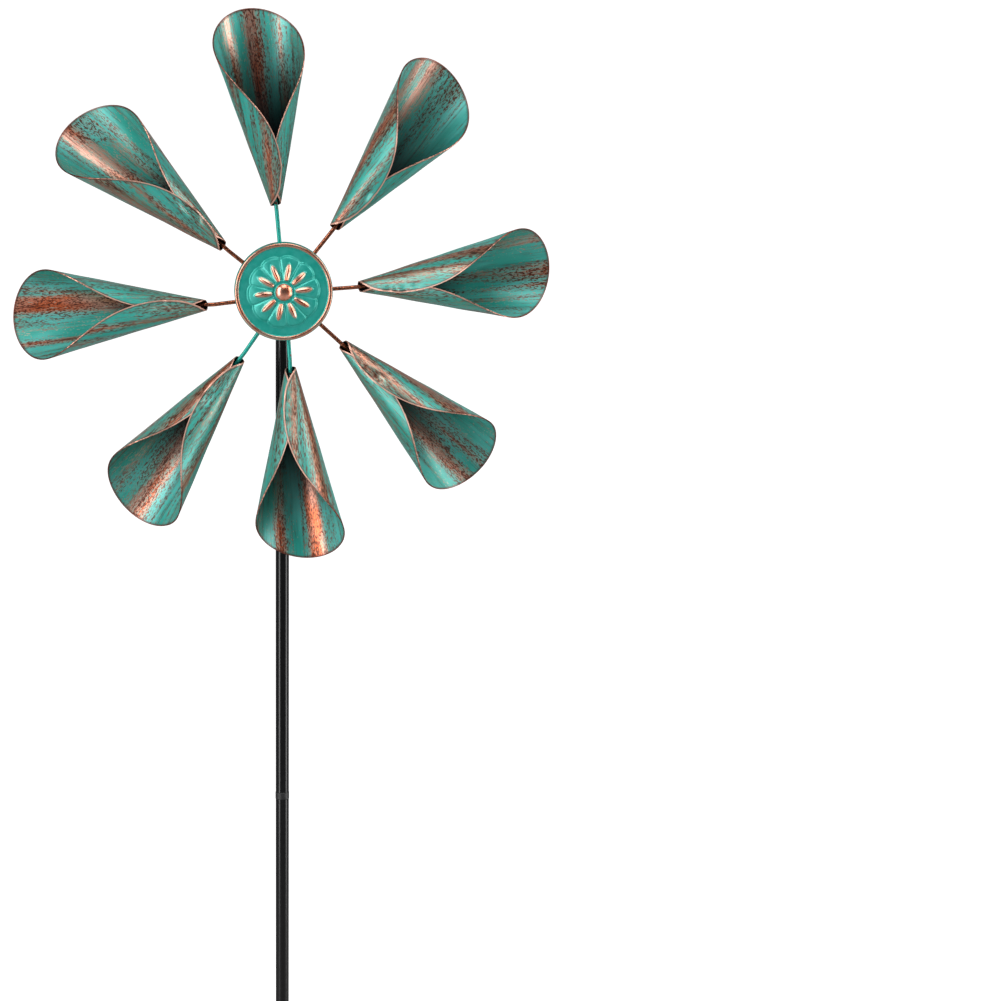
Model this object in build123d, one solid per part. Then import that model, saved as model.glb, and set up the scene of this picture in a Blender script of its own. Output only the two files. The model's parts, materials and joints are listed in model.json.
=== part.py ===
from build123d import *
import math
import os

# Kinetic wind sculpture: one wheel of eight rolled-sheet scoops on a three-section garden pole.
# Frame: +Z up, X to the right, the wheel faces -Y. The origin is on the pole's axis at ground level.
# Millimetres throughout.

# --- Pole and stake -----------------------------------------------------------------------------
POLE_OD = 10.0
POLE_ID = 8.4
PLUG_OD = 8.36
PLUG_ID = 6.8
PLUG_LENGTH = 35.0
THROAT_TOP = 4.0
THROAT_LENGTH = 8.0
LOWER_TOP = 220.0
MIDDLE_LENGTH = 353.0
LOWER_END = 1.0
SPIKE_R = 4.5
SPIKE_LENGTH = 140.0
SPIKE_TIP = 26.0
SPIKE_SEAT = 30.0
TIP_R = 0.6
PRONG_R = 2.5
PRONG_REACH = 40.0
PRONG_BEND = 9.0
PRONG_HEIGHT = 5.0
PRONG_DEPTH = 130.0
PRONG_TIP = 14.0

# --- Swivel between the middle and the upper pole -------------------------------------------------
BUSH_FLANGE_R = 5.2
BUSH_FLANGE = 5.5
BUSH_BORE = 3.15
BUSH_DEPTH = 38.0
BUSH_EDGE = 0.35
PIVOT_R = 3.10
PIVOT_LENGTH = 36.0
PIVOT_SEAT = 30.0
PIVOT_CHAMFER = 0.5
THRUST_GAP = 0.1

# --- Wheel position ---------------------------------------------------------------------------------
UPPER_LENGTH = 383.0
HORN_TRIM = 4.0
SWIVEL_Z = LOWER_TOP + MIDDLE_LENGTH
UPPER_END = SWIVEL_Z + BUSH_FLANGE + THRUST_GAP
HUB_Z = SWIVEL_Z + BUSH_FLANGE + UPPER_LENGTH
WHEEL_FORWARD = 29.0

# The wheel frame: x to the right, y up and z out of the front, centred where the blades' apexes lie.
WHEEL = Plane(origin=(0, -WHEEL_FORWARD, HUB_Z), x_dir=(1, 0, 0), z_dir=(0, -1, 0))

# --- Axle, along the wheel frame's z ------------------------------------------------------------------
BOLT_R = 2.98
BOLT_LENGTH = 50.0
BOLT_CHAMFER = 0.6
HEX_FLATS = 10.0
HEX_CROWN = 0.35
HEX_CHAMFER = 0.4
HEAD_HEIGHT = 4.0
NUT_HEIGHT = 5.0
NUT_BORE = 3.0
NUT_COLLAR_R = 4.3
NUT_COLLAR = 1.0
WASHER_R = 6.0
WASHER = 1.2
WASHER_BORE = 3.2
SLEEVE_R = 6.0
SLEEVE_BORE = 3.1
SLEEVE_HALF = 9.0
SPACER_R = 4.5
SPACER_BORE = 3.05
REAR_SPACER = 3.0
RACE_SPACER = 6.0

# --- Ball bearings, 6 x 19 x 6 ------------------------------------------------------------------------
BEARING_BORE = 3.0
BEARING_R = 9.5
BEARING_WIDTH = 6.0
BALL_R = 1.75
BALL_PITCH_R = 6.25
BALL_COUNT = 7
GROOVE_R = 1.78
INNER_SHOULDER = 5.2
OUTER_SHOULDER = 7.3
CAGE_IN = 5.7
CAGE_OUT = 6.8
CAGE_HALF = 2.2
POCKET_R = 1.85

SLEEVE_FRONT = -WHEEL_FORWARD + SLEEVE_HALF
SLEEVE_BACK = -WHEEL_FORWARD - SLEEVE_HALF
REAR_BEARING = SLEEVE_FRONT + REAR_SPACER
FRONT_BEARING = REAR_BEARING + BEARING_WIDTH + RACE_SPACER
AXLE_FRONT = FRONT_BEARING + BEARING_WIDTH

# --- Hub ------------------------------------------------------------------------------------------------
BARREL_R = 11.5
BARREL_RIB = 8.2
BARREL_LIP = 0.5
PLATE_R = 28.0
PLATE_BACK = -1.0
PLATE_FRONT = 1.0
CAP_R = 35.8
CAP_SHEET = 0.6
BEAD_R = 1.75
BEAD_Z = 5.75
FLOOR_R = 27.6
FLOOR_Z = 6.3
CROWN_R = 8.4
CROWN_Z = 11.2
BOSS_R = 6.4
BOSS_Z = 14.3
PETALS = 10
PETAL_START = 78.5
PETAL_LONG = 9.2
PETAL_WIDE = 2.9
PETAL_HIGH = 1.3
PETAL_MID_R = 16.8
PETAL_SINK = 0.5
PAN_RIM_Z = -0.7
PAN_SKIRT = 1.4
PAN_LEDGE_R = 32.6
PAN_FACE_R = 21.0
PAN_FACE_Z = -15.0

# --- Spokes -------------------------------------------------------------------------------------------
WIRE_R = 1.5
WELD_BITE = 0.15
SPOKE_ROOT_R = 13.5
SPOKE_BEND_R = 28.5
SPOKE_IN_BLADE = 52.0
SPOKE_ENTRY = 8.0
WALL_CLEARANCE = 0.15
SPOKE_BEND = 30.0

# --- Blades -------------------------------------------------------------------------------------------
# A blade is a flat egg-shaped blank rolled on a cone. In the flat the cone's apex lies outside the
# blank, past its narrow end and BLANK_CENTRE from its middle.
SHEET = 0.8
FLAP_GAP = 0.4
CONE_HALF_ANGLE = 13.9
BLANK_CENTRE = 84.4
BLANK_HALF_LENGTH = 71.4
BLANK_HALF_WIDTH = 53.6
BLANK_TAPER = 0.072
BLANK_SQUARE = -0.19
SECTIONS = 41
FLAP_TRIM = 0.992

# The blades are set on their spokes by hand, so no two stand quite alike. Clockwise from the top:
# clock is the place round the hub, lean turns the blade in the wheel's plane, roll turns it about its
# own axis, tilt lifts its mouth to the front (all in degrees), and reach is its apex's radius.
BLADE_CLOCK = (-4.7, 38.8, 87.1, 132.0, 174.2, 211.2, 257.3, 305.2)
BLADE_LEAN = (-1.1, -0.6, -2.5, 0.8, 3.4, 6.5, 10.3, 6.1)
BLADE_ROLL = (-13.2, -16.9, -7.8, -1.1, -15.7, -17.1, -12.7, -19.8)
BLADE_TILT = (16.7, 10.9, 11.4, 8.0, 14.7, 9.1, 7.5, 6.9)
BLADE_REACH = (49.8, 45.7, 41.7, 44.6, 42.9, 45.2, 43.4, 40.7)


def lathe(points):
    """A solid turned about Z from a closed outline of (radius, z) points."""
    outline = Polyline(*[(r, 0, z) for r, z in points], close=True)
    return revolve(make_face(outline), Axis.Z, 360)


def tube(outer, inner, low, high):
    return lathe([(inner, low), (outer, low), (outer, high), (inner, high)])


def rod(radius, low, high):
    return lathe([(0, low), (radius, low), (radius, high), (0, high)])


def hexagon(flats, low, high):
    radius = flats / 2 / math.cos(math.pi / 6)
    prism = extrude(RegularPolygon(radius, 6), high - low)
    crown = lathe([(0, low), (radius - HEX_CROWN, low), (radius, low + HEX_CHAMFER),
                   (radius, high - HEX_CHAMFER), (radius - HEX_CROWN, high), (0, high)])
    return Pos(0, 0, low) * prism & crown


def on_wheel(shape):
    """Carries a shape made about Z to the wheel's axle."""
    return WHEEL.location * shape


# --- Stake and pole ---------------------------------------------------------------------------------

def ground_spike():
    tip = LOWER_END - SPIKE_LENGTH - SPIKE_TIP
    return lathe([
        (0, tip), (TIP_R, tip), (SPIKE_R, tip + SPIKE_TIP), (SPIKE_R, LOWER_END),
        (PLUG_OD / 2, LOWER_END), (PLUG_OD / 2, LOWER_END + SPIKE_SEAT), (0, LOWER_END + SPIKE_SEAT),
    ])


def side_prong(angle):
    """A wire that runs out from the pole, bends down and ends in a point."""
    path = FilletPolyline(
        (0, 0, PRONG_HEIGHT),
        (PRONG_REACH, 0, PRONG_HEIGHT),
        (PRONG_REACH, 0, -PRONG_DEPTH),
        radius=PRONG_BEND,
    )
    wire = sweep(Plane.YZ * Pos(0, PRONG_HEIGHT) * Circle(PRONG_R), path)
    point = Cone(TIP_R, PRONG_R, PRONG_TIP, align=(Align.CENTER, Align.CENTER, Align.MAX))
    prong = wire + Pos(PRONG_REACH, 0, -PRONG_DEPTH) * point
    prong -= Pos(0, 0, PRONG_HEIGHT) * Cylinder(POLE_OD / 2, 4 * PRONG_R)
    return Rot(Z=angle) * prong


def lower_pole():
    """A tube whose top is swaged down to a plug for the middle pole."""
    outer, plug, inner, throat = POLE_OD / 2, PLUG_OD / 2, POLE_ID / 2, PLUG_ID / 2
    return lathe([
        (inner, LOWER_END), (outer, LOWER_END), (outer, LOWER_TOP), (plug, LOWER_TOP),
        (plug, LOWER_TOP + PLUG_LENGTH), (throat, LOWER_TOP + PLUG_LENGTH),
        (throat, LOWER_TOP - THROAT_TOP), (inner, LOWER_TOP - THROAT_LENGTH),
    ])


def middle_pole():
    return tube(POLE_OD / 2, POLE_ID / 2, LOWER_TOP, SWIVEL_Z)


def swivel_bush():
    """The flange is the collar between the poles; the sleeve fills the middle pole's bore."""
    sleeve_r, top = POLE_ID / 2, SWIVEL_Z + BUSH_FLANGE
    return lathe([
        (BUSH_BORE, SWIVEL_Z - BUSH_DEPTH), (sleeve_r, SWIVEL_Z - BUSH_DEPTH), (sleeve_r, SWIVEL_Z),
        (BUSH_FLANGE_R - BUSH_EDGE, SWIVEL_Z), (BUSH_FLANGE_R, SWIVEL_Z + BUSH_EDGE),
        (BUSH_FLANGE_R, top - BUSH_EDGE), (BUSH_FLANGE_R - BUSH_EDGE, top), (BUSH_BORE, top),
    ])


# --- Head -----------------------------------------------------------------------------------------------

def upper_pole():
    """A tube coped at the top to the axle sleeve, with the cope's two horns trimmed level."""
    pole = tube(POLE_OD / 2, POLE_ID / 2, UPPER_END, HUB_Z - HORN_TRIM)
    sleeve_room = Pos(0, 0, HUB_Z) * Rot(X=90) * Cylinder(SLEEVE_R, 4 * POLE_OD)
    return pole - sleeve_room


def pivot_pin():
    seat = PLUG_OD / 2
    foot, top = UPPER_END - PIVOT_LENGTH, UPPER_END + PIVOT_SEAT
    return lathe([
        (0, foot), (PIVOT_R - PIVOT_CHAMFER, foot), (PIVOT_R, foot + PIVOT_CHAMFER),
        (PIVOT_R, UPPER_END), (seat, UPPER_END), (seat, top), (0, top),
    ])


def axle_sleeve():
    return on_wheel(tube(SLEEVE_R, SLEEVE_BORE, SLEEVE_BACK, SLEEVE_FRONT))


def axle_bolt():
    under_head = SLEEVE_BACK - WASHER
    head = hexagon(HEX_FLATS, under_head - HEAD_HEIGHT, under_head)
    end = under_head + BOLT_LENGTH
    shank = lathe([(0, under_head), (BOLT_R, under_head), (BOLT_R, end - BOLT_CHAMFER),
                   (BOLT_R - BOLT_CHAMFER, end), (0, end)])
    return on_wheel(head + shank)


def bolt_washers():
    """Two loose washers: one under the bolt's head and one under the nut."""
    rear = tube(WASHER_R, WASHER_BORE, SLEEVE_BACK - WASHER, SLEEVE_BACK)
    front = tube(SPACER_R, WASHER_BORE, AXLE_FRONT, AXLE_FRONT + WASHER)
    return Compound(children=[on_wheel(rear), on_wheel(front)])


def lock_nut():
    low = AXLE_FRONT + WASHER
    high = low + NUT_HEIGHT
    collar = tube(NUT_COLLAR_R, NUT_BORE, high, high + NUT_COLLAR)
    return on_wheel(hexagon(HEX_FLATS, low, high) - rod(NUT_BORE, low - 1, high + 1) + collar)


def spacer(low, high):
    return on_wheel(tube(SPACER_R, SPACER_BORE, low, high))


# --- Ball bearings -----------------------------------------------------------------------------------

def groove():
    ring = Pos(BALL_PITCH_R, 0) * Circle(GROOVE_R)
    return revolve(Plane.XZ * ring, Axis.Z, 360)


def race(outer, inner, low):
    middle = low + BEARING_WIDTH / 2
    ring = tube(outer, inner, low, low + BEARING_WIDTH)
    return on_wheel(ring - Pos(0, 0, middle) * groove())


def bearing_balls(low):
    ball = Pos(BALL_PITCH_R, 0, low + BEARING_WIDTH / 2) * Sphere(BALL_R)
    turns = [Rot(Z=k * 360 / BALL_COUNT) for k in range(BALL_COUNT)]
    return Compound(children=[on_wheel(turn * ball) for turn in turns])


def bearing_cage(low):
    """A ring with a round pocket drilled from outside for each ball."""
    middle = low + BEARING_WIDTH / 2
    ring = tube(CAGE_OUT, CAGE_IN, middle - CAGE_HALF, middle + CAGE_HALF)
    pocket = Pos(BALL_PITCH_R, 0, middle) * Rot(Y=90) * Cylinder(POCKET_R, BALL_PITCH_R)
    for k in range(BALL_COUNT):
        ring -= Rot(Z=k * 360 / BALL_COUNT) * pocket
    return on_wheel(ring)


# --- Hub ------------------------------------------------------------------------------------------------

def hub_barrel():
    """A barrel with a bearing seat at each end and a rib between them."""
    low, high = REAR_BEARING - BARREL_LIP, AXLE_FRONT + BARREL_LIP
    rib_low, rib_high = REAR_BEARING + BEARING_WIDTH, FRONT_BEARING
    return on_wheel(lathe([
        (BEARING_R, low), (BARREL_R, low), (BARREL_R, high), (BEARING_R, high),
        (BEARING_R, rib_high), (BARREL_RIB, rib_high), (BARREL_RIB, rib_low), (BEARING_R, rib_low),
    ]))


def spoke_plate():
    return on_wheel(tube(PLATE_R, BARREL_R, PLATE_BACK, PLATE_FRONT))


def ball_through(start, end):
    """The centre's height and the radius of a ball on the axis through two (radius, z) points."""
    (r1, z1), (r2, z2) = start, end
    centre = (z2 ** 2 - z1 ** 2 + r2 ** 2 - r1 ** 2) / (2 * (z2 - z1))
    return centre, math.hypot(r1, z1 - centre)


def ball_arc(start, end):
    centre, radius = ball_through(start, end)
    angle = (math.asin(start[0] / radius) + math.asin(end[0] / radius)) / 2
    middle = (radius * math.sin(angle), 0, centre + radius * math.cos(angle))
    return ThreePointArc((start[0], 0, start[1]), middle, (end[0], 0, end[1]))


def dome_line(lift):
    """The pressed dome's outline from the sunk ring in to the axis, moved along the axle by lift."""
    crown = CROWN_Z + lift
    dome = ball_arc((FLOOR_R, FLOOR_Z + lift), (CROWN_R, crown))
    boss = ball_arc((BOSS_R, crown), (0, BOSS_Z + lift))
    return [dome, Line((CROWN_R, 0, crown), (BOSS_R, 0, crown)), boss]


def petal(k):
    """A long raised lobe along the dome's slope."""
    lobe = scale(Sphere(1), by=(PETAL_LONG, PETAL_WIDE, PETAL_HIGH))
    centre, radius = ball_through((FLOOR_R, FLOOR_Z), (CROWN_R, CROWN_Z))
    slope = math.asin(PETAL_MID_R / radius)
    height = centre + radius * math.cos(slope) - PETAL_SINK
    turn = Rot(Z=PETAL_START + k * 360 / PETALS)
    return turn * Pos(PETAL_MID_R, 0, height) * Rot(Y=math.degrees(slope)) * lobe


def front_cap():
    """A pressed dome: rolled rim, sunk ring, raised flower of petals and a round boss."""
    rim, low = CAP_R - BEAD_R, FLOOR_Z - CAP_SHEET
    edge = Polyline((0, 0, low), (rim, 0, low), (rim, 0, FLOOR_Z), (FLOOR_R, 0, FLOOR_Z))
    filled = make_face([*edge.edges(), *dome_line(0), Line((0, 0, BOSS_Z), (0, 0, low))])
    hollow = make_face([
        Line((0, 0, low), (FLOOR_R, 0, low)), *dome_line(-CAP_SHEET),
        Line((0, 0, BOSS_Z - CAP_SHEET), (0, 0, low)),
    ])
    cap = revolve(filled, Axis.Z, 360)
    for k in range(PETALS):
        cap += petal(k)
    cap -= revolve(hollow, Axis.Z, 360)
    bead = revolve(Plane.XZ * Pos(rim, BEAD_Z) * Circle(BEAD_R), Axis.Z, 360)
    return on_wheel(cap + bead)


def rear_cap():
    """A plain pressed pan behind the spokes, centred on the barrel."""
    sheet, ledge_z = CAP_SHEET, PAN_RIM_Z - PAN_SKIRT
    return on_wheel(lathe([
        (BARREL_R, PAN_FACE_Z - sheet), (PAN_FACE_R, PAN_FACE_Z - sheet),
        (PAN_LEDGE_R + sheet, ledge_z - sheet), (CAP_R, ledge_z - sheet), (CAP_R, PAN_RIM_Z),
        (CAP_R - sheet, PAN_RIM_Z), (CAP_R - sheet, ledge_z), (PAN_LEDGE_R, ledge_z),
        (PAN_FACE_R - sheet / 2, PAN_FACE_Z), (BARREL_R, PAN_FACE_Z),
    ]))


# --- Blades ---------------------------------------------------------------------------------------------

def blank_edge(turn):
    """The flat blank's outline, from its wide end (0) round to its narrow end (pi)."""
    along = BLANK_CENTRE + BLANK_HALF_LENGTH * math.cos(turn)
    taper = 1 + BLANK_TAPER * math.cos(turn) + BLANK_SQUARE * (math.cos(turn) ** 2 - 0.5)
    return along, BLANK_HALF_WIDTH * math.sin(turn) * taper


def polar(turn):
    along, across = blank_edge(turn)
    return math.atan2(across, along), math.hypot(along, across)


def widest_turn():
    """Where a line from the apex just grazes the outline."""
    low, high = 0.0, math.pi
    for _ in range(60):
        a, b = low + (high - low) / 3, high - (high - low) / 3
        if polar(a)[0] < polar(b)[0]:
            low = a
        else:
            high = b
    return (low + high) / 2


def crossing(angle, near, far):
    """The radius where the outline crosses a line from the apex; polar angle grows from near to far."""
    for _ in range(60):
        middle = (near + far) / 2
        if polar(middle)[0] < angle:
            near = middle
        else:
            far = middle
    return polar(near)[1]


def blade_section(azimuth, inner, outer):
    """The sheet's cut at one azimuth round the cone, which is 0 at the back and 180 at the front."""
    slope, turn = math.radians(CONE_HALF_ANGLE), math.radians(azimuth)
    along = Vector(math.sin(slope) * math.sin(turn), math.cos(slope), -math.sin(slope) * math.cos(turn))
    normal = Vector(math.cos(slope) * math.sin(turn), -math.sin(slope), -math.cos(slope) * math.cos(turn))
    # The two flaps pass each other at 180 degrees, so the sheet is a slight scroll.
    scroll = -(SHEET + FLAP_GAP) / 2 * azimuth / 180
    low, high = normal * (scroll - SHEET / 2), normal * (scroll + SHEET / 2)
    corners = [along * inner + low, along * outer + low, along * outer + high, along * inner + high]
    return Wire.make_polygon(corners, close=True)


def rolled_blade():
    """The rolled sheet with its apex at the origin and its axis along Y."""
    widest = widest_turn()
    limit = polar(widest)[0] * FLAP_TRIM
    sections = []
    for k in range(SECTIONS):
        angle = limit * (2 * k / (SECTIONS - 1) - 1)
        outer = crossing(abs(angle), 0.0, widest)
        inner = crossing(abs(angle), math.pi, widest)
        azimuth = math.degrees(angle / math.sin(math.radians(CONE_HALF_ANGLE)))
        sections.append(blade_section(azimuth, inner, outer))
    return Solid.make_loft(sections)


def blade_place(k):
    """From a blade's own frame to the wheel frame, before its roll."""
    round_hub = Rot(Z=-BLADE_CLOCK[k]) * Pos(0, BLADE_REACH[k], 0)
    return round_hub * Rot(Z=-BLADE_LEAN[k]) * Rot(X=BLADE_TILT[k])


def blade(k, rolled):
    return on_wheel(blade_place(k) * Rot(Y=-BLADE_ROLL[k]) * rolled)


# --- Spokes ---------------------------------------------------------------------------------------------

def wire_point(k, distance):
    """A point of the spoke's axis where it lies along the inside of the blade's back wall."""
    slope = math.radians(CONE_HALF_ANGLE)
    lift = SHEET / 2 + WALL_CLEARANCE + WIRE_R
    local = Vector(0, distance * math.cos(slope) + lift * math.sin(slope),
                   -distance * math.sin(slope) + lift * math.cos(slope))
    return (blade_place(k) * Location(local)).position


def towards_hub(point, heading, radius):
    """Where a line from the point, towards the hub along the heading, first reaches the radius."""
    along = point.X * heading.X + point.Y * heading.Y
    aside = point.X * heading.Y - point.Y * heading.X
    step = along - math.sqrt(radius ** 2 - aside ** 2)
    return point - heading * step


def spoke(k):
    """A wire welded on the plate, bent at the plate's edge and again where it enters the blade."""
    entry, end = wire_point(k, SPOKE_ENTRY), wire_point(k, SPOKE_IN_BLADE)
    bearing = math.radians(BLADE_CLOCK[k] + BLADE_LEAN[k] / 2)
    heading = Vector(math.sin(bearing), math.cos(bearing), 0)
    height = PLATE_FRONT + WIRE_R - WELD_BITE
    flat_entry = Vector(entry.X, entry.Y, height)
    root = towards_hub(flat_entry, heading, SPOKE_ROOT_R)
    bend = towards_hub(flat_entry, heading, SPOKE_BEND_R)
    path = FilletPolyline(root, bend, entry, end, radius=SPOKE_BEND)
    start = Plane(origin=root, z_dir=bend - root)
    return on_wheel(sweep(start * Circle(WIRE_R), path))


# --- Writing the parts ------------------------------------------------------------------------------

def write(name, shape):
    shape.label = name
    export_step(shape, f"parts/{name}.step")


def write_pole():
    write("ground_spike", ground_spike())
    for k in range(4):
        write(f"side_prong_{k + 1}", side_prong(90 * k))
    write("lower_pole", lower_pole())
    write("middle_pole", middle_pole())
    write("swivel_bush", swivel_bush())


def write_head():
    write("upper_pole", upper_pole())
    write("pivot_pin", pivot_pin())
    write("axle_sleeve", axle_sleeve())
    write("axle_bolt", axle_bolt())
    write("bolt_washers", bolt_washers())
    write("lock_nut", lock_nut())
    write("rear_spacer", spacer(SLEEVE_FRONT, REAR_BEARING))
    write("race_spacer", spacer(REAR_BEARING + BEARING_WIDTH, FRONT_BEARING))


def write_bearings():
    for name, low in (("rear", REAR_BEARING), ("front", FRONT_BEARING)):
        write(f"{name}_inner_race", race(INNER_SHOULDER, BEARING_BORE, low))
        write(f"{name}_outer_race", race(BEARING_R, OUTER_SHOULDER, low))
        write(f"{name}_balls", bearing_balls(low))
        write(f"{name}_cage", bearing_cage(low))


def write_wheel():
    write("hub_barrel", hub_barrel())
    write("spoke_plate", spoke_plate())
    write("front_cap", front_cap())
    write("rear_cap", rear_cap())
    rolled = rolled_blade()
    for k in range(len(BLADE_CLOCK)):
        write(f"spoke_{k + 1}", spoke(k))
        write(f"blade_{k + 1}", blade(k, rolled))


os.makedirs("parts", exist_ok=True)
write_pole()
write_head()
write_bearings()
write_wheel()
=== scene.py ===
import json
import math

import bpy
from mathutils import Matrix, Vector, noise


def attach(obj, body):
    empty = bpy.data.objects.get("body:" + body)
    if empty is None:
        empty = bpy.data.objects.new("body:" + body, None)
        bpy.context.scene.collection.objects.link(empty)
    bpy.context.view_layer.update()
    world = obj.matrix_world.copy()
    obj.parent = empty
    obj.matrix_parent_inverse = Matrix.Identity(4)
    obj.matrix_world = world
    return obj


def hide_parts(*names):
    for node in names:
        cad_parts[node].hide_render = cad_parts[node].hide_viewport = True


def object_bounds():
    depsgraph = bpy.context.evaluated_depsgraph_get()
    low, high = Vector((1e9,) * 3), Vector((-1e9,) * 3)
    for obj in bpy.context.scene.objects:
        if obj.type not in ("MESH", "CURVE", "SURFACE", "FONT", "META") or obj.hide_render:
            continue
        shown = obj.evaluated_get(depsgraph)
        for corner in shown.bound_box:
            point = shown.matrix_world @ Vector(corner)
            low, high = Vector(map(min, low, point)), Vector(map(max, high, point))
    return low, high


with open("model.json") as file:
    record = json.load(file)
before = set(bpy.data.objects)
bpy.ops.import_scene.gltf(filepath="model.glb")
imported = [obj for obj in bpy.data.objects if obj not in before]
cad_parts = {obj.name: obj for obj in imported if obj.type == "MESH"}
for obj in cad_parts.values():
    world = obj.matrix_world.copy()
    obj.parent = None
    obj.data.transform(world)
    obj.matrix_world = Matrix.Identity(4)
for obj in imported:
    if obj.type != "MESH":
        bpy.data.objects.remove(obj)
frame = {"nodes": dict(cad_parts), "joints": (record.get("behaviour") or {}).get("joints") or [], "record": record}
CAD_LOW, CAD_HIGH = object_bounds()

# Metres, +Z up, the wheel faces -Y. Lengths that follow the CAD model are written in millimetres
# and multiplied by MM; angles in the blade tables are in degrees.
MM = 0.001

# --- The wheel's frame -----------------------------------------------------------------------------
JOINTS = {joint["name"]: joint for joint in frame["joints"]}
HUB = Vector(JOINTS["wheel_spin"]["pos_m"])
# From the wheel's x (right), y (up), z (to the front) to the frame's axes.
WHEEL_AXES = Matrix(((1, 0, 0, 0), (0, 0, -1, 0), (0, 1, 0, 0), (0, 0, 0, 1)))
WHEEL = Matrix.Translation(HUB) @ WHEEL_AXES

# --- Camera ----------------------------------------------------------------------------------------
# It stands LEFT of and ABOVE the hub by these angles, at DISTANCE metres, and is turned by the rest.
CAMERA_LENS = 107.9
CAMERA_SENSOR = 36.0
CAMERA_DISTANCE = 2.201
CAMERA_LEFT = 1.6
CAMERA_ABOVE = 5.0
CAMERA_PAN = -5.79
CAMERA_TILT = -8.96
CAMERA_ROLL = 0.66

# --- Studio ----------------------------------------------------------------------------------------
# Each softbox looks at the hub: name, place and size in metres, power in watts.
SOFTBOXES = (
    ("left_softbox", (-1.7, -1.3, 1.30), (0.9, 2.9), 52),
    ("right_softbox", (2.0, -0.55, 1.30), (0.9, 2.9), 48),
    ("top_softbox", (0.1, -0.9, 2.7), (1.4, 1.0), 19),
)
# The floor's half side and how far it lies below the spike's tip, in metres; the camera sees it lit.
FLOOR_HALF = 30.0
FLOOR_DROP = 0.001
FLOOR_GREYS = ((0.50, 0.50, 0.50, 1), (0.54, 0.54, 0.54, 1))
FLOOR_GLOW = 0.05
FLOOR_GLOW_SEEN = 1.0
# The sky's strength in front, behind and as the camera sees it, and where along y it changes.
SKY_FRONT = 0.06
SKY_BACK = 0.42
SKY_SEEN = 1.05
SKY_TURN = (-0.9, 0.6)
WHITE = (1, 1, 1, 1)

# --- Blades: an egg-shaped blank rolled on a cone --------------------------------------------------
SHEET = 0.8 * MM
FLAP_GAP = 0.4 * MM
CONE = math.radians(13.9)
BLANK_CENTRE = 84.4 * MM
BLANK_HALF_LENGTH = 71.4 * MM
BLANK_HALF_WIDTH = 53.6 * MM
BLANK_TAPER = 0.072
BLANK_SQUARE = -0.19
FLAP_TRIM = 0.9985
BLADE_CLOCK = (-4.7, 38.8, 87.1, 132.0, 174.2, 211.2, 257.3, 305.2)
BLADE_LEAN = (-1.1, -0.6, -2.5, 0.8, 3.4, 6.5, 10.3, 6.1)
BLADE_ROLL = (-13.2, -16.9, -7.8, -1.1, -15.7, -17.1, -12.7, -19.8)
BLADE_TILT = (16.7, 10.9, 11.4, 8.0, 14.7, 9.1, 7.5, 6.9)
BLADE_REACH = (49.8, 45.7, 41.7, 44.6, 42.9, 45.2, 43.4, 40.7)
COLUMNS = 112
ROWS = 44
# The brush runs between the cone's lines and the blade's axis: 0 follows the lines, 1 the axis.
# At BRUSH_REACH from the apex, distances across the brush are true to size.
BRUSH_REACH = 100 * MM
BRUSH_INSIDE = 0.7
BRUSH_FLAP = 0.45
# The cut edge: how wide it is shaded, how far it bulges, and how far the mouth is drawn in for it.
RIM_ROW = 0.35 * MM
RIM_BULGE = 0.22 * MM
MOUTH_INSET = 0.5 * MM
# Slight waves all over the hand-rolled sheet.
WAVE_HEIGHT = 0.3 * MM
WAVE_LENGTH = 24 * MM
# Pinched spots on the seam, in mm: distance from the apex, sideways place, depth, length, width.
PINCHES = ((55.0, -1.2, 1.6, 5.4, 2.4), (42.0, 1.0, 1.1, 4.4, 2.2), (49.0, 2.4, -0.8, 4.0, 1.8))
# PINCH_SHIFT is how far they wander from blade to blade, and the upper flap lifts by SEAM_LIFT.
SEAM_LIFT = 0.8 * MM
PINCH_SHIFT = 3.0
# The crumpled stretch of the seam, in mm: its middle from the apex, half length and half width.
CRUMPLE_PLACE = 48
CRUMPLE_LONG = 11
CRUMPLE_WIDE = 5
CRUMPLE_HEIGHT = 0.9 * MM
CRUMPLE_LENGTH = 6.5 * MM
# How much more the outside is rubbed than the inside, everywhere and towards the narrow end.
OUTSIDE_WEAR = 0.02
NARROW_END_WEAR = 0.06
# Where the rim's dark and light lines begin and end, as a share of the blank's outline squared.
RIM_DARK = (0.925, 0.960)
RIM_LIGHT = (0.962, 0.980)
# The stretch, in metres from the apex, in which the cut edge turns from copper to rust.
EDGE_TURN = (0.098, 0.122)
# How many metres from the apex the painted shade inside is at its darkest.
PAINTED_SHADE_DARKEST = 0.060
# Noise cells per metre on the cut edge.
EDGE_GRAIN = 500

# --- Hub cap ---------------------------------------------------------------------------------------
CAP_R = 35.8 * MM
CAP_SHEET = 0.6 * MM
BEAD_R = 1.75 * MM
BEAD_Z = 5.75 * MM
# The bead's round section starts at this angle and turns back by steps, in degrees.
BEAD_START = 150
BEAD_STEP = 13.5
BEAD_STEPS = 21
FLOOR_R = 27.6 * MM
FLOOR_Z = 6.3 * MM
CROWN_R = 8.4 * MM
CROWN_Z = 11.2 * MM
BOSS_R = 6.4 * MM
BOSS_Z = 14.3 * MM
NECK_DEPTH = 0.25 * MM
PETALS = 10
PETAL_START = math.radians(78.5)
PETAL_EDGE_R = 24.4 * MM
PETAL_EDGE_BULGE = 2.6 * MM
NOTCH_SOFT = 0.98
PETAL_EDGE_SOFT = (-0.2 * MM, 2.0 * MM)
PETAL_ROOT = (7.4 * MM, 9.5 * MM)
PETAL_CROWN = 0.8 * MM
GROOVE_DEPTH = 0.45 * MM
GROOVE_WIDTH = 0.6 * MM
RIDGE_START = 7.6 * MM
RIDGE_LENGTH = 14.6 * MM
RIDGE_WIDTH = 1.5 * MM
RIDGE_HEIGHT = 1.25 * MM
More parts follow.
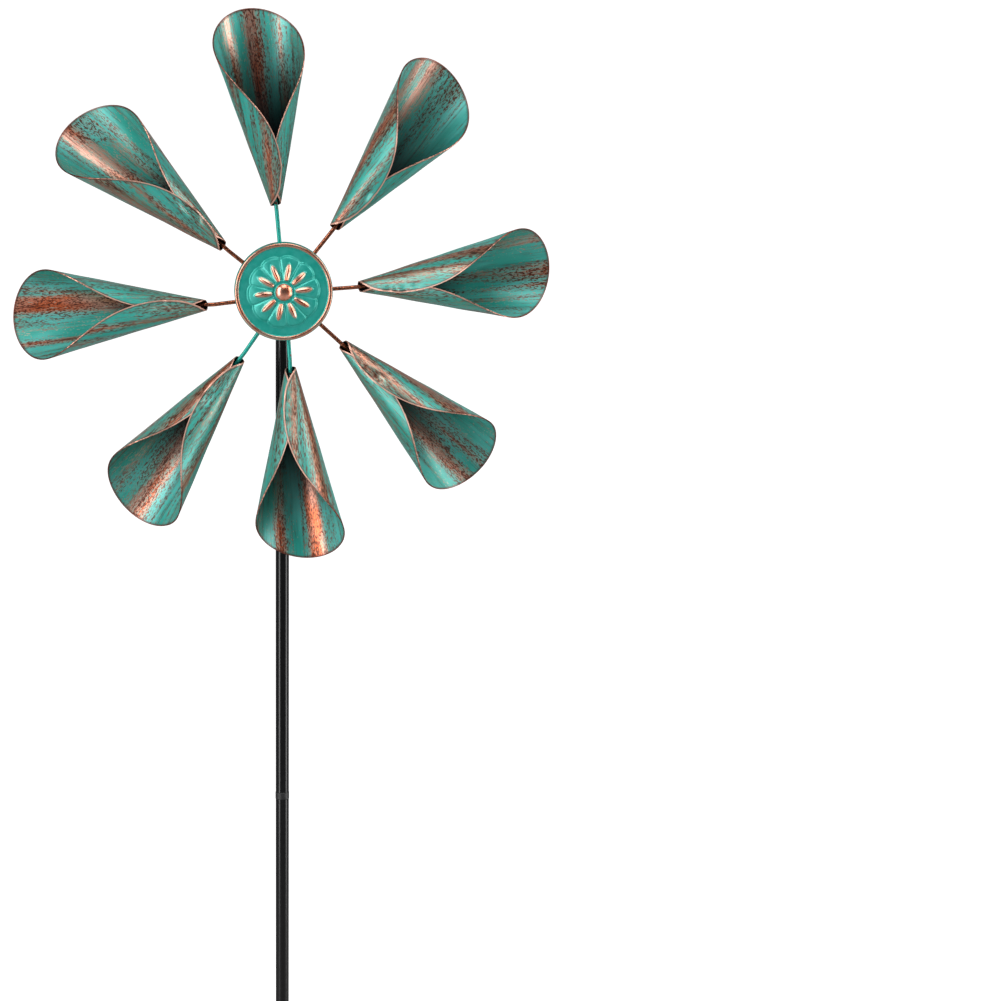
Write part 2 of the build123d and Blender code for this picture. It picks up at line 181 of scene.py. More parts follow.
# The rubbed copper on the cap, 0 to 1, and how far it spreads beside each ridge.
GLOW_R = 23.6 * MM
GLOW_FADE = 5 * MM
GLOW_WIDTH = 2.6 * MM
GLOW_WEAR = 0.66
RIDGE_WEAR = 0.22
BOSS_WEAR = 0.66
BEAD_WEAR = 0.52
CAP_POLE = 0.02 * MM
CAP_RINGS = 96
CAP_SEGMENTS = 300


# --- Node helpers ----------------------------------------------------------------------------------

class Shader:
    """A material's node tree, with short calls for the nodes used here."""

    def __init__(self, name):
        self.material = bpy.data.materials.new(name)
        self.material.use_nodes = True
        self.tree = self.material.node_tree
        self.surface = self.tree.nodes["Principled BSDF"]

    def set(self, socket, value):
        if isinstance(value, bpy.types.NodeSocket):
            self.tree.links.new(value, socket)
        else:
            socket.default_value = value

    def node(self, kind, *values, **settings):
        made = self.tree.nodes.new(kind)
        for name, value in settings.items():
            setattr(made, name, value)
        for socket, value in zip(made.inputs, values):
            if value is not None:
                self.set(socket, value)
        return made

    def math(self, operation, *values):
        return self.node("ShaderNodeMath", *values, operation=operation).outputs[0]

    def vector(self, x, y, z):
        return self.node("ShaderNodeCombineXYZ", x, y, z).outputs[0]

    def noise(self, place, detail=2.0, rough=0.5):
        made = self.node("ShaderNodeTexNoise")
        self.set(made.inputs["Vector"], place)
        made.inputs["Scale"].default_value = 1.0
        made.inputs["Detail"].default_value = detail
        made.inputs["Roughness"].default_value = rough
        return made.outputs[0]

    def ramp(self, value, low, high, start=0.0, end=1.0, smooth=True):
        made = self.node("ShaderNodeMapRange", value, low, high, start, end)
        made.interpolation_type = "SMOOTHSTEP" if smooth else "LINEAR"
        return made.outputs[0]

    def mix(self, share, first, second):
        made = self.node("ShaderNodeMix", data_type="RGBA")
        for name, value in (("Factor_Float", share), ("A_Color", first), ("B_Color", second)):
            self.set(next(s for s in made.inputs if s.identifier == name), value)
        return next(s for s in made.outputs if s.identifier == "Result_Color")

    def bump(self, height, distance, strength=1.0):
        made = self.node("ShaderNodeBump")
        made.inputs["Strength"].default_value = strength
        made.inputs["Distance"].default_value = distance
        self.set(made.inputs["Height"], height)
        return made.outputs[0]

    def finish(self, **values):
        for name, value in values.items():
            label = name.replace("_", " ").title().replace("Ior", "IOR")
            self.set(self.surface.inputs[label], value)
        return self.material


def rgb(red, green, blue):
    """A linear colour from its sRGB value, 0 to 255."""
    return (*[((c / 255 + 0.055) / 1.055) ** 2.4 for c in (red, green, blue)], 1.0)


TEAL = rgb(26, 154, 140)
TEAL_PALE = rgb(80, 182, 174)
TEAL_DEEP = rgb(14, 102, 94)
COPPER = rgb(214, 160, 140)
COPPER_DULL = rgb(172, 120, 98)
ORANGE = rgb(214, 104, 60)
RUST = rgb(112, 44, 24)
BROWN = rgb(62, 38, 30)
# Painted shade colour for the depth of the blades' insides.
PAINTED_SHADE_BLUE_BLACK = rgb(6, 16, 22)


# --- Materials -------------------------------------------------------------------------------------

def map_place(shader, name):
    """The two coordinates of a point in one of the mesh's maps, in metres."""
    flat = shader.node("ShaderNodeUVMap", uv_map=name).outputs[0]
    parts = shader.node("ShaderNodeSeparateXYZ", flat)
    return parts.outputs[0], parts.outputs[1]


def rim_share(shader):
    """How far a point lies in the dark line along the cut edge, and in the light one outside it."""
    along, across = map_place(shader, "flat")
    x = shader.math("DIVIDE", shader.math("SUBTRACT", along, BLANK_CENTRE), BLANK_HALF_LENGTH)
    square = shader.math("MULTIPLY", x, x)
    taper = shader.math("MULTIPLY_ADD", x, BLANK_TAPER, 1 - BLANK_SQUARE / 2)
    width = shader.math("MULTIPLY_ADD", square, BLANK_SQUARE, taper)
    y = shader.math("DIVIDE", across, shader.math("MULTIPLY", width, BLANK_HALF_WIDTH))
    share = shader.math("MULTIPLY_ADD", y, y, square)
    return shader.ramp(share, *RIM_DARK), shader.ramp(share, *RIM_LIGHT)


def cut_edge(name):
    """The sheet's bare edge: light copper along the flaps, brown round the mouth."""
    shader = Shader(name)
    along, across = map_place(shader, "flat")
    x, y = [shader.math("MULTIPLY", part, EDGE_GRAIN) for part in (along, across)]
    grain = shader.noise(shader.vector(x, y, 0), 2.0)
    worn = shader.mix(shader.ramp(along, *EDGE_TURN), COPPER, RUST)
    return shader.finish(
        base_color=shader.mix(shader.ramp(grain, 0.42, 0.62, 0.0, 0.7), worn, BROWN),
        metallic=shader.ramp(grain, 0.0, 1.0, 0.95, 0.85, False),
        roughness=shader.math("MULTIPLY_ADD", grain, 0.2, 0.22),
    )


def band_sum(shader, across, bands):
    """Soft bands of extra copper along the blade, inside partly painted highlight: (middle across, half width,
    strength).
    """
    total = 0.0
    for middle, half, strength in bands:
        off = shader.math("ABSOLUTE", shader.math("SUBTRACT", across, middle * MM))
        share = shader.ramp(off, 0.0, half * MM, strength, 0.0)
        total = shader.math("ADD", share, total)
    return total


def patina(name, seed, bands, inside, deep=0.0):
    """Verdigris brushed along the blade over copper: copper haze, streaks and maze-like speckle.
    Inside, a painted shade turns the colour blue-black from the distance deep down to the narrow end, standing in
    for the dark deep in the cone.
    Each field is a noise with its cells per metre along and across the brush."""
    shader = Shader(name)
    along, across = map_place(shader, "brush")

    def field(per_along, per_across, shift, detail, rough=0.5):
        x, y = shader.math("MULTIPLY", along, per_along), shader.math("MULTIPLY", across, per_across)
        return shader.noise(shader.vector(x, y, seed + shift), detail, rough)

    broad = field(7.0, 80.0, 0.0, 2.0)
    streak = field(13.0, 380.0, 3.1, 3.0, 0.65)
    hair = field(34.0, 1700.0, 17.0, 2.0)
    maze = field(480.0 if inside else 300.0, 1450.0, 7.3, 1.0)
    patch = field(20.0, 60.0, 11.9, 2.0)

    raw = shader.math("MULTIPLY_ADD", streak, 0.42, shader.math("MULTIPLY", broad, 0.46))
    raw = shader.math("MULTIPLY_ADD", hair, 0.12, raw)
    # Bands of extra copper; inside they are partly painted highlight.
    raw = shader.math("ADD", raw, band_sum(shader, across, bands))
    if not inside:
        raw = shader.math("ADD", raw, OUTSIDE_WEAR)
        raw = shader.math("ADD", raw, shader.ramp(along, 0.03, 0.09, NARROW_END_WEAR, 0.0))
    dots = shader.math("SUBTRACT", maze, 0.5)
    haze = shader.ramp(raw, 0.46, 0.78)
    dotted = shader.ramp(shader.math("MULTIPLY_ADD", dots, 0.85, raw), 0.58, 0.65)
    copper_share = shader.math("MULTIPLY_ADD", dotted, 0.5, shader.math("MULTIPLY", haze, 0.5))

    teal = shader.mix(shader.ramp(patch, 0.32, 0.68, 0.0, 1.0 if inside else 0.35), TEAL, TEAL_PALE)
    teal = shader.mix(shader.ramp(streak, 0.48, 0.72, 0.0, 0.7), teal, TEAL_DEEP)
    bare = COPPER if inside else COPPER_DULL
    warm = shader.mix(shader.ramp(patch, 0.42, 0.62, 0.0, 1.0 if inside else 0.6), bare, ORANGE)
    warm = shader.mix(shader.ramp(streak, 0.55, 0.70, 0.0, 0.85), warm, RUST)
    colour = shader.mix(copper_share, teal, warm)
    zone = shader.math("MULTIPLY", shader.ramp(raw, 0.45, 0.55), shader.ramp(patch, 0.34, 0.50))
    flecks = shader.math("MULTIPLY", zone, shader.ramp(maze, 0.50, 0.57, 0.0, 0.85))
    colour = shader.mix(flecks, colour, BROWN)
    lines = shader.ramp(hair, 0.58, 0.68, 0.0, 0.8)
    scratches = shader.math("MULTIPLY", lines, shader.ramp(patch, 0.60, 0.45))
    colour = shader.mix(scratches, colour, BROWN)
    dark_line, light_line = rim_share(shader)
    colour = shader.mix(shader.math("MULTIPLY", dark_line, 0.6), colour, BROWN)
    edge = shader.mix(shader.ramp(along, *EDGE_TURN), COPPER, RUST)
    colour = shader.mix(shader.math("MULTIPLY", light_line, 0.85), colour, edge)
    if inside:
        # Painted shade: the inside turns blue-black towards the narrow end.
        colour = shader.mix(shader.ramp(along, PAINTED_SHADE_DARKEST, deep), PAINTED_SHADE_BLUE_BLACK, colour)

    rough = shader.math("MULTIPLY_ADD", hair, 0.16, shader.ramp(copper_share, 0.0, 1.0, 0.34, 0.24, False))
    relief = shader.math("MULTIPLY_ADD", hair, 0.5, shader.math("MULTIPLY", copper_share, -0.6))
    return shader.finish(
        base_color=colour,
        coat_weight=0.3,
        coat_roughness=0.3,
        metallic=shader.ramp(copper_share, 0.0, 1.0, 0.25, 0.80, False),
        roughness=rough,
        normal=shader.bump(relief, 0.05 * MM),
    )


def cap_paint(name):
    """Verdigris paint with copper rubbed bare on the raised parts, as the wear map says."""
    shader = Shader(name)
    wear = map_place(shader, "wear")[0]
    place = shader.node("ShaderNodeTexCoord").outputs["Object"]
    parts = shader.node("ShaderNodeSeparateXYZ", place)

    def field(scale, detail):
        scaled = [shader.math("MULTIPLY", parts.outputs[k], scale) for k in range(3)]
        return shader.noise(shader.vector(*scaled), detail, 0.6)

    cloud, grain = field(150.0, 2.0), field(900.0, 2.0)
    mottled = shader.math("MULTIPLY_ADD", cloud, 0.6, shader.math("MULTIPLY", grain, 0.4))
    rubbed = shader.ramp(shader.math("MULTIPLY_ADD", mottled, 0.4, wear), 0.36, 0.84)
    teal = shader.mix(shader.ramp(cloud, 0.32, 0.68, 0.0, 0.3), TEAL, TEAL_PALE)
    copper = shader.mix(shader.ramp(cloud, 0.38, 0.62, 0.0, 0.6), COPPER, ORANGE)
    copper = shader.mix(shader.ramp(wear, 0.46, 0.56, 0.45, 0.0), copper, RUST)
    # The most rubbed crests turn rust-brown: partly rust, partly painted shade for the dark reflection on the
    # crests.
    copper = shader.mix(shader.ramp(wear, 0.66, 0.88, 0.0, 0.8), copper, RUST)
    gloss = shader.ramp(rubbed, 0.0, 1.0, 0.24, 0.19, False)
    return shader.finish(
        base_color=shader.mix(rubbed, teal, copper),
        metallic=shader.ramp(rubbed, 0.0, 1.0, 0.3, 0.95, False),
        roughness=shader.math("MULTIPLY_ADD", grain, 0.12, gloss),
        normal=shader.bump(grain, 0.006 * MM),
    )


def coated(name, first, second, scale, bare, metallic, rough, bump, specular=0.5):
    """A finish that varies between two colours, with fine grain in its gloss and relief.
    scale is in noise cells per metre, metallic is that of each colour, and bump is in mm."""
    shader = Shader(name)
    place = shader.node("ShaderNodeTexCoord").outputs["Object"]
    stretch = shader.node("ShaderNodeMapping", place)
    stretch.inputs["Scale"].default_value = scale
    cloud = shader.noise(stretch.outputs[0], 3.0, 0.6)
    fine = shader.node("ShaderNodeMapping", place)
    fine.inputs["Scale"].default_value = [3.5 * s for s in scale]
    grain = shader.noise(fine.outputs[0], 2.0, 0.6)
    share = shader.ramp(shader.math("MULTIPLY_ADD", grain, 0.3, cloud), bare, bare + 0.14)
    uniform = metallic[0] == metallic[1]
    metal = metallic[0] if uniform else shader.ramp(share, 0.0, 1.0, metallic[0], metallic[1], False)
    return shader.finish(
        base_color=shader.mix(share, first, second),
        metallic=metal,
        roughness=shader.math("MULTIPLY_ADD", grain, 0.16, rough),
        specular_ior_level=specular,
        normal=shader.bump(grain, bump * MM),
    )


# Bands of bare copper inside and outside each blade, as (middle across, half width, strength) in mm; the pale
# inside bands are partly painted highlight, laid where the softboxes' reflections fall.
INSIDE_COPPER_AND_HIGHLIGHT_BANDS = (
    ((-15, 8, 0.20), (2, 7, 0.26), (20, 7, 0.16)),
    ((-16, 8, 0.20), (-4, 8, 0.26), (10, 6, 0.10)),
    ((-20, 7, 0.16), (4, 7, 0.14), (14, 5, 0.12)),
    ((11, 9, 0.22), (-3, 5, 0.08)),
    ((-5, 11, 0.30), (20, 8, 0.16)),
    ((3, 11, 0.22), (18, 6, 0.08)),
    ((9, 12, 0.30), (-18, 4, 0.12)),
    ((-2, 10, 0.27), (14, 6, 0.10)),
)
# How far from the apex each blade's painted shade inside begins, in metres.
INSIDE_PAINTED_SHADE_START = (0.150, 0.140, 0.100, 0.128, 0.140, 0.124, 0.090, 0.096)
OUTSIDE_BANDS = (
    ((-44, 7, 0.16), (-68, 7, 0.2), (42, 6, 0.12)),
    ((-46, 9, 0.24), (-66, 6, 0.14), (44, 6, 0.1)),
    ((-48, 8, 0.22), (-62, 6, 0.12), (44, 6, 0.14)),
    ((46, 7, 0.14), (-50, 9, 0.22), (-66, 7, 0.16)),
    ((-50, 9, 0.26), (44, 6, 0.1), (-68, 5, 0.14)),
    ((-46, 7, 0.16), (48, 6, 0.14), (68, 6, 0.12)),
    ((-46, 6, 0.12), (-58, 5, 0.12), (66, 5, 0.12)),
    ((-44, 8, 0.2), (-60, 7, 0.16), (50, 7, 0.14)),
)


def slot_materials():
    """One material for each material slot of the record, for the CAD nodes that stay as they are."""
    steel, steel_dull = rgb(196, 198, 202), rgb(150, 153, 158)
    wire, wire_dark = rgb(176, 104, 74), rgb(92, 56, 42)
    plain, bare_metal, painted = (0.0, 0.0), (1.0, 1.0), (0.35, 0.9)
    fine, medium, broad = (900, 900, 900), (500, 500, 500), (160, 160, 160)
    return {
        "black_powder_coat": coated(
            "powder_coat", rgb(5, 5, 7), rgb(11, 11, 13), (900, 900, 500), 0.62, plain, 0.10, 0.01, 0.32),
        "black_nylon": coated(
            "nylon", rgb(20, 20, 21), rgb(30, 30, 32), medium, 0.62, plain, 0.38, 0.02),
        "turned_steel": coated(
            "turned", steel, steel_dull, (60, 60, 2400), 0.62, bare_metal, 0.22, 0.01),
        "zinc_hardware": coated(
            "zinc", steel, rgb(170, 172, 160), broad, 0.6, (1.0, 0.9), 0.28, 0.01),
        "bearing_steel": coated(
            "ground", steel, steel_dull, fine, 0.66, bare_metal, 0.12, 0.003),
        "brass_cage": coated(
            "brass", rgb(214, 170, 92), rgb(170, 120, 58), (300, 300, 300), 0.6, bare_metal, 0.26, 0.01),
        "patina_cap": coated(
            "cap_back_paint", TEAL, COPPER, broad, 0.70, (0.3, 0.9), 0.22, 0.01),
        "patina_blade": coated(
            "sheet_paint", TEAL, RUST, broad, 0.66, (0.3, 0.9), 0.30, 0.02),
        "hub_steel": coated(
            "hub_paint", TEAL, RUST, broad, 0.74, painted, 0.30, 0.02),
        "wire_copper": coated(
            "wire_copper", wire, wire_dark, (700, 700, 700), 0.58, (0.9, 0.8), 0.16, 0.02),
        "wire_teal": coated(
            "wire_teal", TEAL, RUST, (260, 260, 260), 0.72, painted, 0.30, 0.03),
    }


# --- Mesh helpers ----------------------------------------------------------------------------------

def make_piece(name, points, faces, materials, indices, maps):
    """A smooth mesh with UV maps, given as one (x, y) for each point."""
    mesh = bpy.data.meshes.new(name)
    mesh.from_pydata(points, [], faces)
    for material in materials:
        mesh.materials.append(material)
    for face, index in zip(mesh.polygons, indices):
        face.material_index = index
        face.use_smooth = True
    for map_name, values in maps.items():
        layer = mesh.uv_layers.new(name=map_name)
        for loop in mesh.loops:
            layer.data[loop.index].uv = values[loop.vertex_index]
    piece = bpy.data.objects.new(name, mesh)
    bpy.context.scene.collection.objects.link(piece)
    return piece


def smooth_step(value, low, high):
    share = min(1.0, max(0.0, (value - low) / (high - low)))
    return share * share * (3 - 2 * share)


# --- Blades ----------------------------------------------------------------------------------------

def blank_polar(turn):
    """The polar angle and radius, from the apex, of a point on the blank's outline."""
    along = BLANK_CENTRE + BLANK_HALF_LENGTH * math.cos(turn)
    taper = 1 + BLANK_TAPER * math.cos(turn) + BLANK_SQUARE * (math.cos(turn) ** 2 - 0.5)
    across = BLANK_HALF_WIDTH * math.sin(turn) * taper
    return math.atan2(across, along), math.hypot(along, across)


def widest_turn():
    """Where a line from the apex just grazes the outline."""
    low, high = 0.0, math.pi
    for _ in range(60):
        first, second = low + (high - low) / 3, high - (high - low) / 3
        if blank_polar(first)[0] < blank_polar(second)[0]:
            low = first
        else:
            high = second
    return (low + high) / 2


def crossing(angle, near, far):
    """The radius where the outline crosses a line from the apex; the angle grows from near to far."""
    for _ in range(60):
        middle = (near + far) / 2
        if blank_polar(middle)[0] < angle:
            near = middle
        else:
            far = middle
    return blank_polar(near)[1]


def blank_columns():
    """(polar angle, inner radius, outer radius) for each line of the mesh, closer towards the tips."""
    widest = widest_turn()
    limit = blank_polar(widest)[0] * FLAP_TRIM
    columns = []
    for k in range(COLUMNS + 1):
        angle = limit * math.sin(math.pi / 2 * (2 * k / COLUMNS - 1))
        outer = crossing(abs(angle), 0.0, widest) - MOUTH_INSET
        inner = min(crossing(abs(angle), math.pi, widest), outer - RIM_BULGE)
        columns.append((angle, inner, outer))
    return columns


def row_shares(length):
    """Where the rows cut a column, with one close to each end to keep the rim's shading narrow."""
    rim = min(0.2, RIM_ROW / length)
    middle = [rim + (1 - 2 * rim) * k / (ROWS - 2) for k in range(ROWS - 1)]
    return [0.0, *middle, 1.0]


def pinch(point, seed):
    """How far the pinched and crumpled seam lies inside the plain cone at a point."""
    if point.z < 0:
        return 0.0
    along, aside = point.length / MM, point.x / MM
    depth = 0.0
    for n, (distance, side, deep, long, wide) in enumerate(PINCHES):
        shift = PINCH_SHIFT * math.sin(2.7 * seed + 1.9 * n)
        strength = 0.75 + 0.35 * math.cos(3.1 * seed + 2.3 * n)
        away = ((along - distance - shift) / long) ** 2 + ((aside - side) / wide) ** 2
        depth += deep * strength * MM * math.exp(-away)
    near = math.exp(-((along - CRUMPLE_PLACE) / CRUMPLE_LONG) ** 4 - (aside / CRUMPLE_WIDE) ** 2)
    folds = noise.noise(point / CRUMPLE_LENGTH + Vector((0, 0, seed * 5.3)))
    return depth + CRUMPLE_HEIGHT * near * folds


def brush_place(angle, radius, offset):
    """Where a point lies along and across the brush's path: outside the flaps follow the seam."""
    share = radius / BRUSH_REACH
    if offset < 0:
        return radius * math.cos(angle), angle * BRUSH_REACH * share ** BRUSH_INSIDE
    azimuth = abs(angle) / math.sin(CONE)
    power = BRUSH_FLAP * smooth_step(azimuth, math.radians(60), math.radians(140))
    turn = math.pi - (math.pi - azimuth) * share ** power
    return radius, math.copysign(turn, angle) * math.sin(CONE) * BRUSH_REACH


def rolled_point(angle, radius, offset, seed):
    """A point of the rolled sheet: offset is its distance outside the sheet's middle."""
    azimuth = angle / math.sin(CONE)
    side, front = math.sin(azimuth), -math.cos(azimuth)
    line = Vector((math.sin(CONE) * side, math.cos(CONE), math.sin(CONE) * front))
    normal = Vector((math.cos(CONE) * side, -math.sin(CONE), math.cos(CONE) * front))
    scroll = -(SHEET + FLAP_GAP) / 2 * azimuth / math.pi
    scroll += SEAM_LIFT * smooth_step(-azimuth, math.radians(168), math.radians(196))
    middle = line * radius
    wave = WAVE_HEIGHT * noise.noise(middle / WAVE_LENGTH + Vector((seed * 3.7, 0, 0)))
    return middle + normal * (scroll + offset + wave - pinch(middle, seed))


def blade_mesh(name, k, materials):
    """The sheet as two faces and a rounded rim round its whole edge."""
    columns, seed = blank_columns(), k + 1
    points, flat, brush, faces, indices = [], [], [], [], []

    def add(angle, radius, offset):
        points.append(rolled_point(angle, radius, offset, seed))
        flat.append((radius * math.cos(angle), radius * math.sin(angle)))
        brush.append(brush_place(angle, radius, offset))
        return len(points) - 1

    layers = []
    for offset in (SHEET / 2, -SHEET / 2):
        layer = []
        for angle, inner, outer in columns:
            shares = row_shares(outer - inner)
            layer.append([add(angle, inner + (outer - inner) * share, offset) for share in shares])
        layers.append(layer)
    for index, layer in enumerate(layers):
        for i in range(COLUMNS):
            for j in range(ROWS):
                quad = (layer[i][j], layer[i + 1][j], layer[i + 1][j + 1], layer[i][j + 1])
                faces.append(quad if index else quad[::-1])
                indices.append(index)
    add_rim(columns, layers, add, faces, indices)
    return make_piece(name, points, faces, materials, indices, {"flat": flat, "brush": brush})


def add_rim(columns, layers, add, faces, indices):
    """Joins the two faces all round with a line of points that stands slightly proud."""
    last = len(columns) - 1
    ring = [(i, 0) for i in range(last)] + [(last, j) for j in range(ROWS)]
    ring += [(i, ROWS) for i in range(last, 0, -1)] + [(0, j) for j in range(ROWS, 0, -1)]
    proud = []
    for i, j in ring:
        angle, inner, outer = columns[i]
        radius = inner + (outer - inner) * row_shares(outer - inner)[j]
        out = RIM_BULGE if j == ROWS else -RIM_BULGE if j == 0 else 0.0
        proud.append(add(angle, radius + out, 0.0))
    for n, (i, j) in enumerate(ring):
        m = (n + 1) % len(ring)
        a, b = ring[n], ring[m]
        for index, layer in enumerate(layers):
            quad = (layer[a[0]][a[1]], layer[b[0]][b[1]], proud[m], proud[n])
            faces.append(quad if index == 0 else quad[::-1])
            indices.append(2)


def turned_about(axis, degrees):
    return Matrix.Rotation(math.radians(degrees), 4, axis)


def blade_place(k):
    """From a blade's own frame to the wheel's frame, before its roll."""
    clock = turned_about("Z", -BLADE_CLOCK[k])
    out = Matrix.Translation((0, BLADE_REACH[k] * MM, 0))
    return clock @ out @ turned_about("Z", -BLADE_LEAN[k]) @ turned_about("X", BLADE_TILT[k])


def build_blades(rim):
    for k in range(len(BLADE_CLOCK)):
        outside = patina(f"verdigris_outside_{k + 1}", 20.0 + 5 * k, OUTSIDE_BANDS[k], False)
        inside = patina(f"verdigris_and_painted_light_inside_{k + 1}", 70.0 + 5 * k, INSIDE_COPPER_AND_HIGHLIGHT_BANDS[k], True, INSIDE_PAINTED_SHADE_START[k])
        piece = blade_mesh(f"rolled_blade_{k + 1}", k, [outside, inside, rim])
        piece.data.transform(WHEEL @ blade_place(k) @ turned_about("Y", -BLADE_ROLL[k]))
        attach(piece, "wheel")
        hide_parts(f"blade_{k + 1}")


# --- Hub cap ---------------------------------------------------------------------------------------

def ball_height(start, end, radius):
    """The height at a radius of a ball on the axis through two (radius, height) points."""
    (r1, z1), (r2, z2) = start, end
    centre = (z2 ** 2 - z1 ** 2 + r2 ** 2 - r1 ** 2) / (2 * (z2 - z1))
    ball = math.hypot(r1, z1 - centre)
    return centre + math.sqrt(max(0.0, ball ** 2 - radius ** 2))


def petal_relief(radius, angle):
    """The flower's height over the sunk ring and its rubbed share at a point of the cap."""
    pitch = 2 * math.pi / PETALS
    turn = abs((angle - PETAL_START + pitch / 2) % pitch - pitch / 2)
    share = turn / (pitch / 2)
    aside = radius * turn
    edge = PETAL_EDGE_R + PETAL_EDGE_BULGE * math.sqrt(1 - share ** 2 * NOTCH_SOFT)
    inside = smooth_step(edge - radius, *PETAL_EDGE_SOFT)
    dome = ball_height((FLOOR_R, FLOOR_Z), (CROWN_R, CROWN_Z), radius) - FLOOR_Z
    petal = smooth_step(radius, *PETAL_ROOT)
    crown = PETAL_CROWN * (1 - share ** 2) * petal
    groove = GROOVE_DEPTH * math.exp(-((radius * (pitch / 2 - turn)) / GROOVE_WIDTH) ** 2) * petal
    run = min(1.0, max(0.0, (radius - RIDGE_START) / RIDGE_LENGTH))
    body = math.sin(math.pi * run) ** 0.6
    ridge = math.exp(-(aside / (RIDGE_WIDTH * body + 1e-6)) ** 2) * body
    height = (dome + crown - groove + RIDGE_HEIGHT * ridge) * inside
    glow = math.exp(-(aside / (GLOW_WIDTH * (0.4 + 0.6 * body))) ** 2)
    glow *= smooth_step(GLOW_R - radius, 0.0, GLOW_FADE)
    return height, GLOW_WEAR * glow * petal + RIDGE_WEAR * ridge ** 3


def cap_surface(radius, angle):
    """The cap's height and rubbed share inside the bead."""
    if radius <= BOSS_R:
        return ball_height((BOSS_R, CROWN_Z), (0, BOSS_Z), radius), BOSS_WEAR
    if radius <= CROWN_R:
        share = (radius - BOSS_R) / (CROWN_R - BOSS_R)
        return CROWN_Z - NECK_DEPTH * math.sin(math.pi * share), 0.0
    if radius < FLOOR_R:
        height, worn = petal_relief(radius, angle)
        return FLOOR_Z + height, worn
    return FLOOR_Z, 0.0


def front_cap_points(segments):
    """Rings of (radius, height, wear) from the axis out, round the bead and back under the sheet."""
    radii = [CAP_POLE + (CAP_R - 2 * BEAD_R) * (k / CAP_RINGS) for k in range(CAP_RINGS + 1)]
    turns = [2 * math.pi * n / segments for n in range(segments)]
    top = [[(r, *cap_surface(r, turn)) for turn in turns] for r in radii]
    bead = []
    for k in range(1, BEAD_STEPS + 1):
        angle = math.radians(BEAD_START - BEAD_STEP * k)
        r = CAP_R - BEAD_R + BEAD_R * math.cos(angle)
        z = BEAD_Z + BEAD_R * math.sin(angle)
        bead.append([(r, z, BEAD_WEAR * smooth_step(math.sin(angle), 0.25, 0.8))] * segments)
    under = [[(r, z - CAP_SHEET, 0.0) for r, z, _ in ring] for ring in reversed(top)]
    return top + bead + under


def ring_piece(name, rings, material):
    """A closed shell from rings of (radius, height, wear) round the wheel's axle."""
    segments = len(rings[0])
    points, wear, faces = [], [], []
    for ring in rings:
        for n, (radius, height, worn) in enumerate(ring):
            turn = 2 * math.pi * n / segments
            points.append(WHEEL @ Vector((radius * math.cos(turn), radius * math.sin(turn), height)))
            wear.append((worn, radius))
    for i in range(len(rings) - 1):
        for n in range(segments):
            m = (n + 1) % segments
            low, high = i * segments, (i + 1) * segments
            faces.append((low + n, high + n, high + m, low + m))
    faces.append(tuple(range(segments)))
    last = (len(rings) - 1) * segments
    faces.append(tuple(last + n for n in reversed(range(segments))))
    return make_piece(name, points, faces, [material], [0] * len(faces), {"wear": wear})


def build_cap(paint):
    piece = ring_piece("pressed_hub_cap", front_cap_points(CAP_SEGMENTS), paint)
    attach(piece, "wheel")
    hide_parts("front_cap")


# --- CAD nodes that stay as they are ---------------------------------------------------------------

TEAL_SPOKES = ("spoke_1", "spoke_5", "spoke_6")


def dress_nodes(materials):
    for row in frame["record"]["subparts"]:
        node, slot = row["node"], row["material_slot"]
        if slot == "patina_wire":
            slot = "wire_teal" if node in TEAL_SPOKES else "wire_copper"
        if slot in materials:
            mesh = frame["nodes"][node].data
            mesh.materials.clear()
            mesh.materials.append(materials[slot])


# --- Studio ----------------------------------------------------------------------------------------

def build_floor():
    shader = Shader("pale_floor")
    place = shader.node("ShaderNodeTexCoord").outputs["Object"]
    seen = shader.node("ShaderNodeLightPath").outputs["Is Camera Ray"]
    shader.finish(
        base_color=shader.mix(shader.noise(place, 2.0), *FLOOR_GREYS),
        roughness=0.9,
        emission_color=WHITE,
        emission_strength=shader.ramp(seen, 0.0, 1.0, FLOOR_GLOW, FLOOR_GLOW_SEEN, False),
    )
    height = CAD_LOW.z - FLOOR_DROP
    corners = [(x * FLOOR_HALF, y * FLOOR_HALF, height) for x, y in ((-1, -1), (1, -1), (1, 1), (-1, 1))]
    mesh = bpy.data.meshes.new("floor")
    mesh.from_pydata(corners, [], [(0, 1, 2, 3)])
    mesh.materials.append(shader.material)
    floor = bpy.data.objects.new("floor", mesh)
    bpy.context.scene.collection.objects.link(floor)


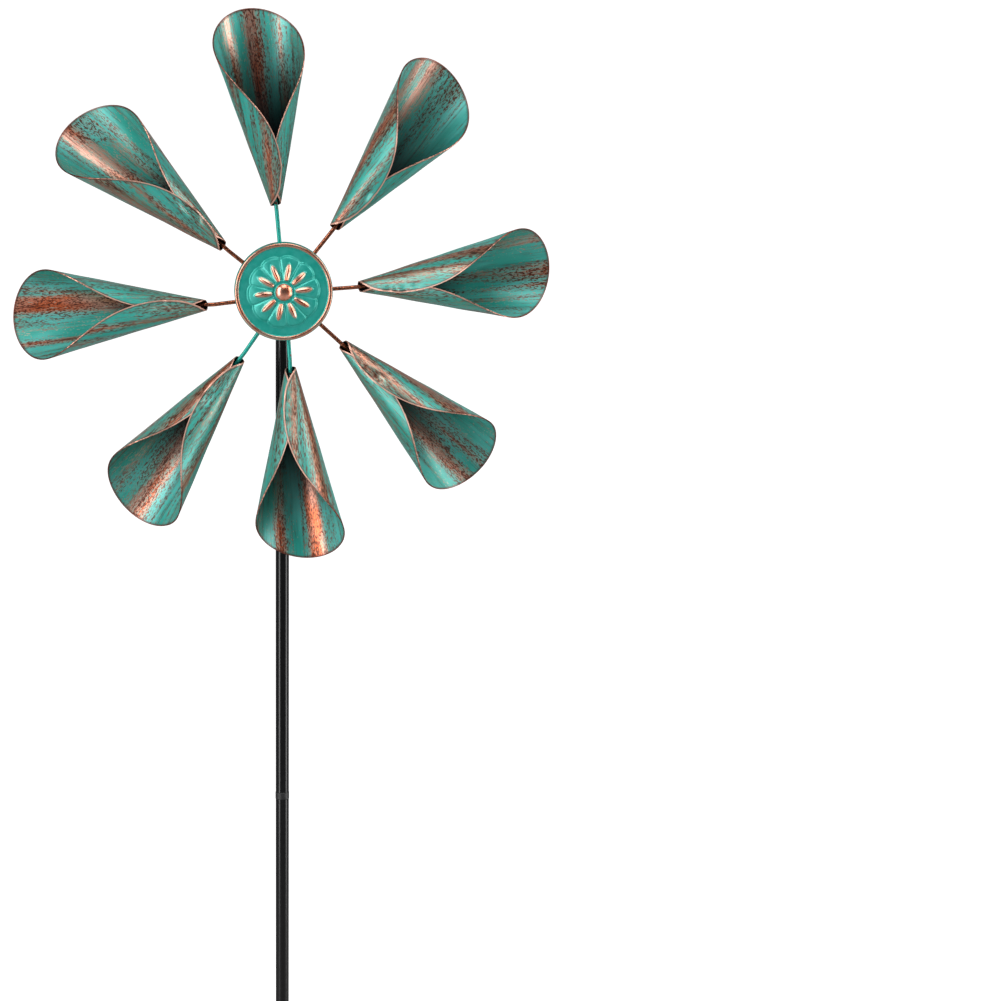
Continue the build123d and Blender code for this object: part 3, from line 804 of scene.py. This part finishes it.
def add_light(name, place, size, power):
    """A soft rectangular light that looks at the hub."""
    light = bpy.data.lights.new(name, "AREA")
    light.shape, light.size, light.size_y, light.energy = "RECTANGLE", size[0], size[1], power
    lamp = bpy.data.objects.new(name, light)
    lamp.location = Vector(place)
    lamp.rotation_euler = (HUB - Vector(place)).to_track_quat("-Z", "Y").to_euler()
    bpy.context.scene.collection.objects.link(lamp)


def build_world():
    """Bright overhead and behind, dimmer in front; the camera itself sees plain white."""
    world = bpy.data.worlds.new("studio")
    world.use_nodes = True
    tree = world.node_tree
    nodes, links = tree.nodes, tree.links
    place = nodes.new("ShaderNodeTexCoord")
    parts = nodes.new("ShaderNodeSeparateXYZ")
    links.new(place.outputs["Generated"], parts.inputs[0])
    front = nodes.new("ShaderNodeMapRange")
    links.new(parts.outputs[1], front.inputs[0])
    for socket, value in zip(front.inputs[1:5], (*SKY_TURN, SKY_FRONT, SKY_BACK)):
        socket.default_value = value
    seen = nodes.new("ShaderNodeLightPath")
    strength = nodes.new("ShaderNodeMix")
    links.new(seen.outputs["Is Camera Ray"], strength.inputs[0])
    links.new(front.outputs[0], strength.inputs[2])
    strength.inputs[3].default_value = SKY_SEEN
    background = nodes["Background"]
    background.inputs[0].default_value = WHITE
    links.new(strength.outputs[0], background.inputs[1])
    bpy.context.scene.world = world


def build_studio():
    build_floor()
    build_world()
    for softbox in SOFTBOXES:
        add_light(*softbox)
    bpy.context.scene.view_settings.view_transform = "Standard"


def build_camera():
    """The camera stands in front of the hub, a little left of it and above it."""
    back = turned_about("Z", -CAMERA_LEFT) @ turned_about("X", -CAMERA_ABOVE) @ Vector((0, -1, 0))
    data = bpy.data.cameras.new("camera")
    data.lens, data.sensor_width = CAMERA_LENS, CAMERA_SENSOR
    camera = bpy.data.objects.new("camera", data)
    pan, tilt = turned_about("Z", CAMERA_PAN), turned_about("X", 90 + CAMERA_TILT)
    turn = pan @ tilt @ turned_about("Z", CAMERA_ROLL)
    camera.matrix_world = Matrix.Translation(HUB + back * CAMERA_DISTANCE) @ turn
    bpy.context.scene.collection.objects.link(camera)
    bpy.context.scene.camera = camera


build_camera()
build_studio()
slots = slot_materials()
dress_nodes(slots)
build_blades(cut_edge("cut_edge"))
build_cap(cap_paint("cap_verdigris"))
